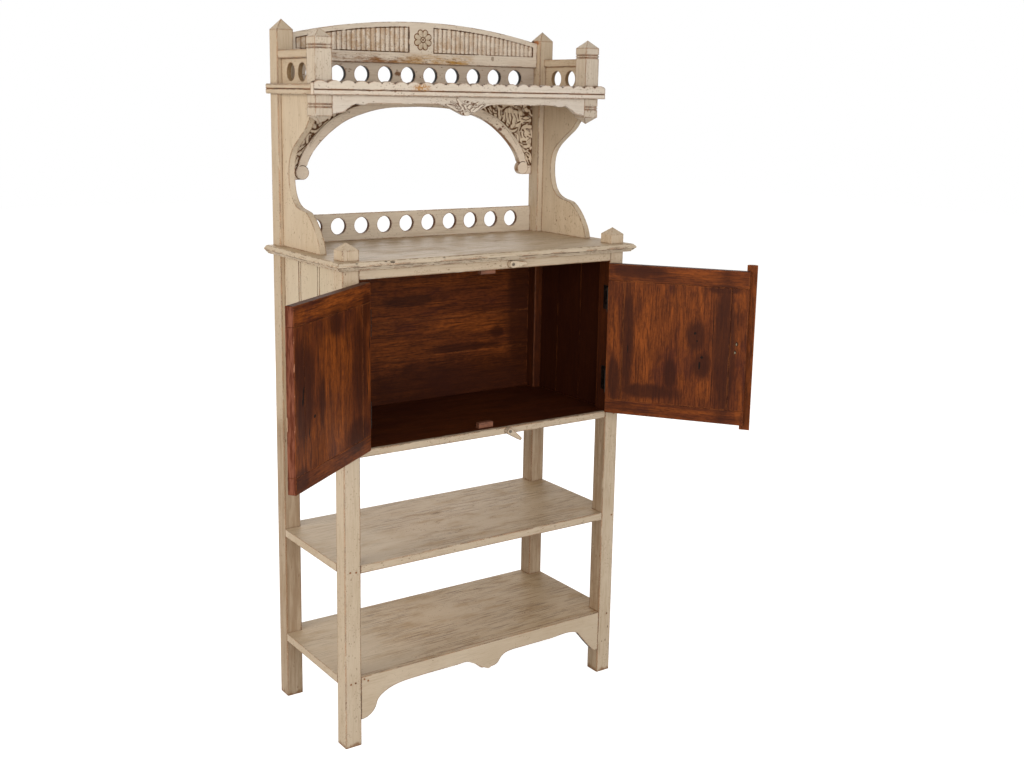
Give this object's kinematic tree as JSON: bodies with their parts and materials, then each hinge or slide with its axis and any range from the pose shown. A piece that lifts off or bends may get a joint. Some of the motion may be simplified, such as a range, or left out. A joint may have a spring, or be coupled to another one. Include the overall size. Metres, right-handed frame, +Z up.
{
  "type": "trastero cabinet",
  "caption": "Tall painted cupboard on square posts with open shelves below, a case closed by hinged doors, and an arched hutch above with pierced galleries and a fluted crest.",
  "frame": {"origin": "on the floor, at the middle of the footprint of the four posts", "axes": "+Z up, +X to the right seen from the front, +Y to the back; the doors are on the -Y side"},
  "size_m": [1.2186, 0.6706, 1.7086],
  "materials": {
    "painted_wood": "satin",
    "stained_wood": "satin",
    "bare_wood": "matte",
    "black_iron": "matte",
    "old_steel": "satin"
  },
  "bodies": {
    "frame": {"post_front_left": "painted_wood", "post_front_right": "painted_wood", "post_rear_left": "painted_wood", "post_rear_right": "painted_wood", "post_cap_left": "painted_wood", "post_cap_right": "painted_wood", "shelf_middle": "painted_wood", "shelf_lower": "painted_wood", "apron_front": "painted_wood", "cupboard_floor": "stained_wood", "side_boards_left": "painted_wood", "side_boards_right": "painted_wood", "back_boards": "stained_wood", "top_rail": "painted_wood", "door_stop_upper": "bare_wood", "door_stop_lower": "bare_wood", "worktop": "painted_wood", "hinge_leaves_post_left": "black_iron", "hinge_leaves_post_right": "black_iron", "hinge_pins_left": "black_iron", "hinge_pins_right": "black_iron", "turn_button_screws": "old_steel", "bracket_left": "painted_wood", "bracket_right": "painted_wood", "upper_shelf": "painted_wood", "shelf_moulding_left": "painted_wood", "shelf_moulding_right": "painted_wood", "scallop_strip": "painted_wood", "gallery_post_left": "painted_wood", "gallery_post_right": "painted_wood", "gallery_rails_side": "painted_wood", "gallery_batten_left": "painted_wood", "gallery_batten_right": "painted_wood", "gallery_rail_back": "painted_wood", "gallery_rail_lower": "painted_wood", "crest_board": "painted_wood", "arch_board": "painted_wood", "valance": "painted_wood"},
    "left_door": {"left_door_rail_upper": "stained_wood", "left_door_rail_lower": "stained_wood", "left_door_panel": "stained_wood", "left_door_stile_hinge": "stained_wood", "left_door_stile_free": "stained_wood", "hinge_leaves_door_left": "black_iron"},
    "right_door": {"right_door_rail_upper": "stained_wood", "right_door_rail_lower": "stained_wood", "right_door_panel": "stained_wood", "right_door_stile_hinge": "stained_wood", "right_door_stile_free": "stained_wood", "right_door_astragal": "painted_wood", "hinge_leaves_door_right": "black_iron"},
    "upper_turn_button": {"turn_button_upper": "painted_wood"},
    "lower_turn_button": {"turn_button_lower": "painted_wood"}
  },
  "joints": [
    {"name": "left_door_hinge", "type": "hinge", "parent": "frame", "child": "left_door", "pos_m": [-0.3577, -0.1865, 0.92], "axis": [0, 0, 1], "range_deg": [-36, 143.5]},
    {"name": "right_door_hinge", "type": "hinge", "parent": "frame", "child": "right_door", "pos_m": [0.3577, -0.1865, 0.92], "axis": [0, 0, 1], "range_deg": [-126.3, 53]},
    {"name": "upper_button_pivot", "type": "hinge", "parent": "frame", "child": "upper_turn_button", "pos_m": [0.05, -0.1883, 1.1355], "axis": [0, 1, 0], "range_deg": [-8, 120]},
    {"name": "lower_button_pivot", "type": "hinge", "parent": "frame", "child": "lower_turn_button", "pos_m": [0.05, -0.1883, 0.7215], "axis": [0, 1, 0], "range_deg": [-140, 100]}
  ]
}
